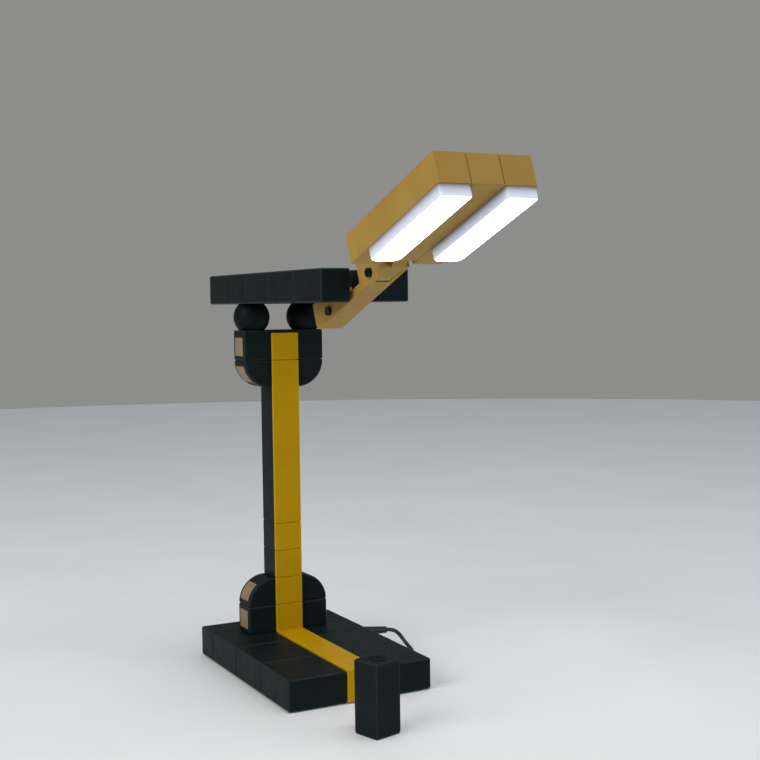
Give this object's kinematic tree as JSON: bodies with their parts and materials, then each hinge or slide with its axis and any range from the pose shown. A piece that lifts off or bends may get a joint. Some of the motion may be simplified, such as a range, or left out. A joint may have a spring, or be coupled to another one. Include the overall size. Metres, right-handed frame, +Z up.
{
  "type": "desk_lamp",
  "caption": "Desk lamp of black and yellow building blocks: weighted base, square column with rounded shoulders, slotted top plate, swing arm and tilting twin-panel LED head.",
  "frame": {"origin": "centre of the base's rest face, on the table", "axes": "+X to the lamp's right, +Y to its back, +Z up; the head reaches towards -Y"},
  "size_m": [0.2162, 0.5757, 0.5192],
  "materials": {
    "black_block": "satin moulded plastic",
    "yellow_tile": "satin moulded plastic",
    "yellow_block": "satin moulded plastic",
    "cream_inlay": "matt moulded plastic",
    "steel": "zinc plated",
    "dark_metal": "black coated steel",
    "rubber": "matt rubber",
    "cord_rubber": "satin flexible sheath",
    "plug_plastic": "moulded on",
    "circuit_board": "solder resist",
    "led_aluminium": "white lacquer",
    "light_panel": "opal diffuser",
    "button_plastic": "satin moulded plastic"
  },
  "bodies": {
    "lamp": {"base_left_1": "black_block", "base_left_2": "black_block", "base_left_3": "black_block", "base_left_4": "black_block", "base_right_1": "black_block", "base_right_2": "black_block", "base_right_3": "black_block", "base_right_4": "black_block", "base_spine": "black_block", "ballast_plate": "steel", "foot_pad": "rubber", "base_screws": "steel", "driver_board": "circuit_board", "cable_gland": "cord_rubber", "top_tile": "yellow_tile", "front_tile": "yellow_tile", "column_post": "black_block", "column_tile_1": "yellow_tile", "column_tile_2": "yellow_tile", "column_tile_3": "yellow_tile", "column_tile_4": "yellow_tile", "column_tile_5": "yellow_tile", "column_tile_6": "yellow_tile", "lower_cube_left": "black_block", "lower_cube_right": "black_block", "lower_round_left": "black_block", "lower_round_right": "black_block", "upper_cube_left": "black_block", "upper_cube_right": "black_block", "upper_round_left": "black_block", "upper_round_right": "black_block", "inlay_panels": "cream_inlay", "ball_left": "black_block", "ball_right": "black_block", "ball_bolts": "steel", "plate_left_row": "black_block", "plate_right_row": "black_block", "plate_centre_row": "black_block", "plate_ties": "steel", "arm_hanger": "dark_metal", "hanger_screws": "steel", "supply_cord": "cord_rubber", "cord_coil": "cord_rubber", "usb_plug": "plug_plastic"},
    "arm": {"swing_arm": "yellow_block", "arm_pin": "dark_metal", "head_pin": "dark_metal"},
    "head": {"head_left_bar": "yellow_block", "head_middle_bar": "yellow_block", "head_right_bar": "yellow_block", "head_ties": "steel", "led_boards": "led_aluminium", "left_diffuser": "light_panel", "right_diffuser": "light_panel"},
    "switch": {"switch_shell": "black_block", "switch_board": "circuit_board", "switch_cell": "steel", "switch_base": "black_block"},
    "button": {"switch_button": "button_plastic"}
  },
  "joints": [
    {"name": "arm_swing", "type": "hinge", "parent": "lamp", "child": "arm", "pos_m": [0, -0.0875, 0.3909], "axis": [-1, 0, 0], "range_deg": [-25, 35]},
    {"name": "head_tilt", "type": "hinge", "parent": "arm", "child": "head", "pos_m": [0, -0.17651, 0.42686], "axis": [-1, 0, 0], "range_deg": [-35, 20]},
    {"name": "switch_lift", "type": "slide", "parent": "lamp", "child": "switch", "axis": [0, 0, 1], "range_m": [0, 0.05]},
    {"name": "button_press", "type": "slide", "parent": "switch", "child": "button", "axis": [0, 0, -1], "range_m": [0, 0.0012], "stiffness_N_per_m": 1200}
  ]
}
